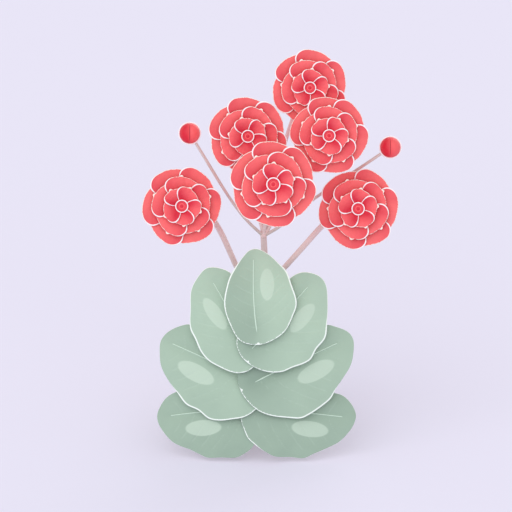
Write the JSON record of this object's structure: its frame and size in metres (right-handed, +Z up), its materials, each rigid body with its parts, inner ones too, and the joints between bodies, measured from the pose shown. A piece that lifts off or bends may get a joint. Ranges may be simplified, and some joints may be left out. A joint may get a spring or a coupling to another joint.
{
  "type": "potted begonia",
  "caption": "Begonia in a plain round clay pot: red double blooms and round buds on pink stems above thick grey-green leaves that hang over the rim.",
  "frame": {"origin": "middle of the pot's base, on the surface it stands on", "axes": "+Z up; the side shown in the picture faces -Y, with +X to its right"},
  "size_m": [0.195, 0.1436, 0.3037],
  "materials": {
    "terracotta": "unglazed, matt, dusty",
    "soil": null,
    "flower_stem": "dusty pink, satin; wood stands in for green stem",
    "petals": "velvety red with a pale margin; fabric stands in for petal",
    "buds": "glossy red with a pale rim; fabric stands in for petal",
    "leaves": "grey-green, waxy, with a pale rim; leather stands in for thick leaf"
  },
  "bodies": {
    "root": {"pot": "terracotta", "soil": "soil", "stem_left": "flower_stem", "stem_right": "flower_stem", "stem_centre": "flower_stem", "bloom_left": "petals", "bloom_upper_left": "petals", "bloom_centre": "petals", "bloom_upper_right": "petals", "bloom_top": "petals", "bloom_right": "petals", "bud_left": "buds", "bud_right": "buds", "leaf_top": "leaves", "leaf_upper_left": "leaves", "leaf_upper_right": "leaves", "leaf_middle_left": "leaves", "leaf_middle_right": "leaves", "leaf_lower_left": "leaves", "leaf_lower_right": "leaves", "leaf_back_top": "leaves", "leaf_back_upper_left": "leaves", "leaf_back_upper_right": "leaves", "leaf_back_lower_left": "leaves", "leaf_back_lower_right": "leaves", "leaf_right_front": "leaves", "leaf_right_back": "leaves", "leaf_left_front": "leaves", "leaf_left_back": "leaves", "leaf_inner_right": "leaves", "leaf_inner_left": "leaves", "leaf_inner_back_right": "leaves", "leaf_inner_back_left": "leaves"}
  },
  "joints": []
}
